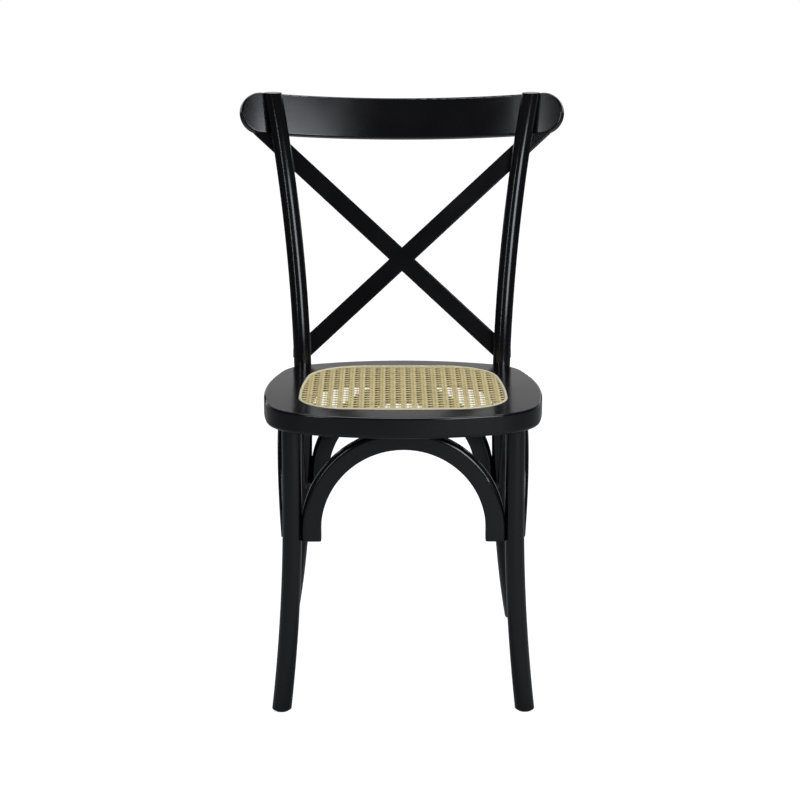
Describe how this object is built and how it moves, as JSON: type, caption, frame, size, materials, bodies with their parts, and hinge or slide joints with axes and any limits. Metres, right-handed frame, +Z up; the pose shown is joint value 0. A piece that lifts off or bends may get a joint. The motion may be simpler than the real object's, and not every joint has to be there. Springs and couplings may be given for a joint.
{
  "type": "cross back chair",
  "caption": "Dining chair with a crossed slat back, a woven cane seat in a solid ring, sabre legs and bent arch braces.",
  "frame": {"origin": "on the floor, under the middle of the chair's outline", "axes": "+X to the right as seen from the front, +Y to the rear, +Z up"},
  "size_m": [0.5192, 0.5368, 0.8818],
  "materials": {
    "lacquer": "satin black lacquer on beech",
    "cane": "natural woven cane, matte",
    "spline": "natural reed, matte",
    "steel": "black zinc",
    "glide": "matte nylon"
  },
  "bodies": {
    "root": {"seat_frame": "lacquer", "front_leg_left": "lacquer", "front_leg_right": "lacquer", "rear_post_left": "lacquer", "rear_post_right": "lacquer", "crest_rail": "lacquer", "crest_plugs": "lacquer", "cross_slat_left": "lacquer", "cross_slat_right": "lacquer", "front_arch": "lacquer", "rear_arch": "lacquer", "left_arch": "lacquer", "right_arch": "lacquer", "cane_webbing": "cane", "cane_spline": "spline", "crest_screws": "steel", "slat_screws": "steel", "cross_screw": "steel", "arch_end_screws": "steel", "arch_crown_screws": "steel", "seat_bolts": "steel", "seat_bolt_washers": "steel", "barrel_nuts": "steel", "front_glide_left": "glide", "front_glide_right": "glide", "rear_glide_left": "glide", "rear_glide_right": "glide"}
  },
  "joints": []
}
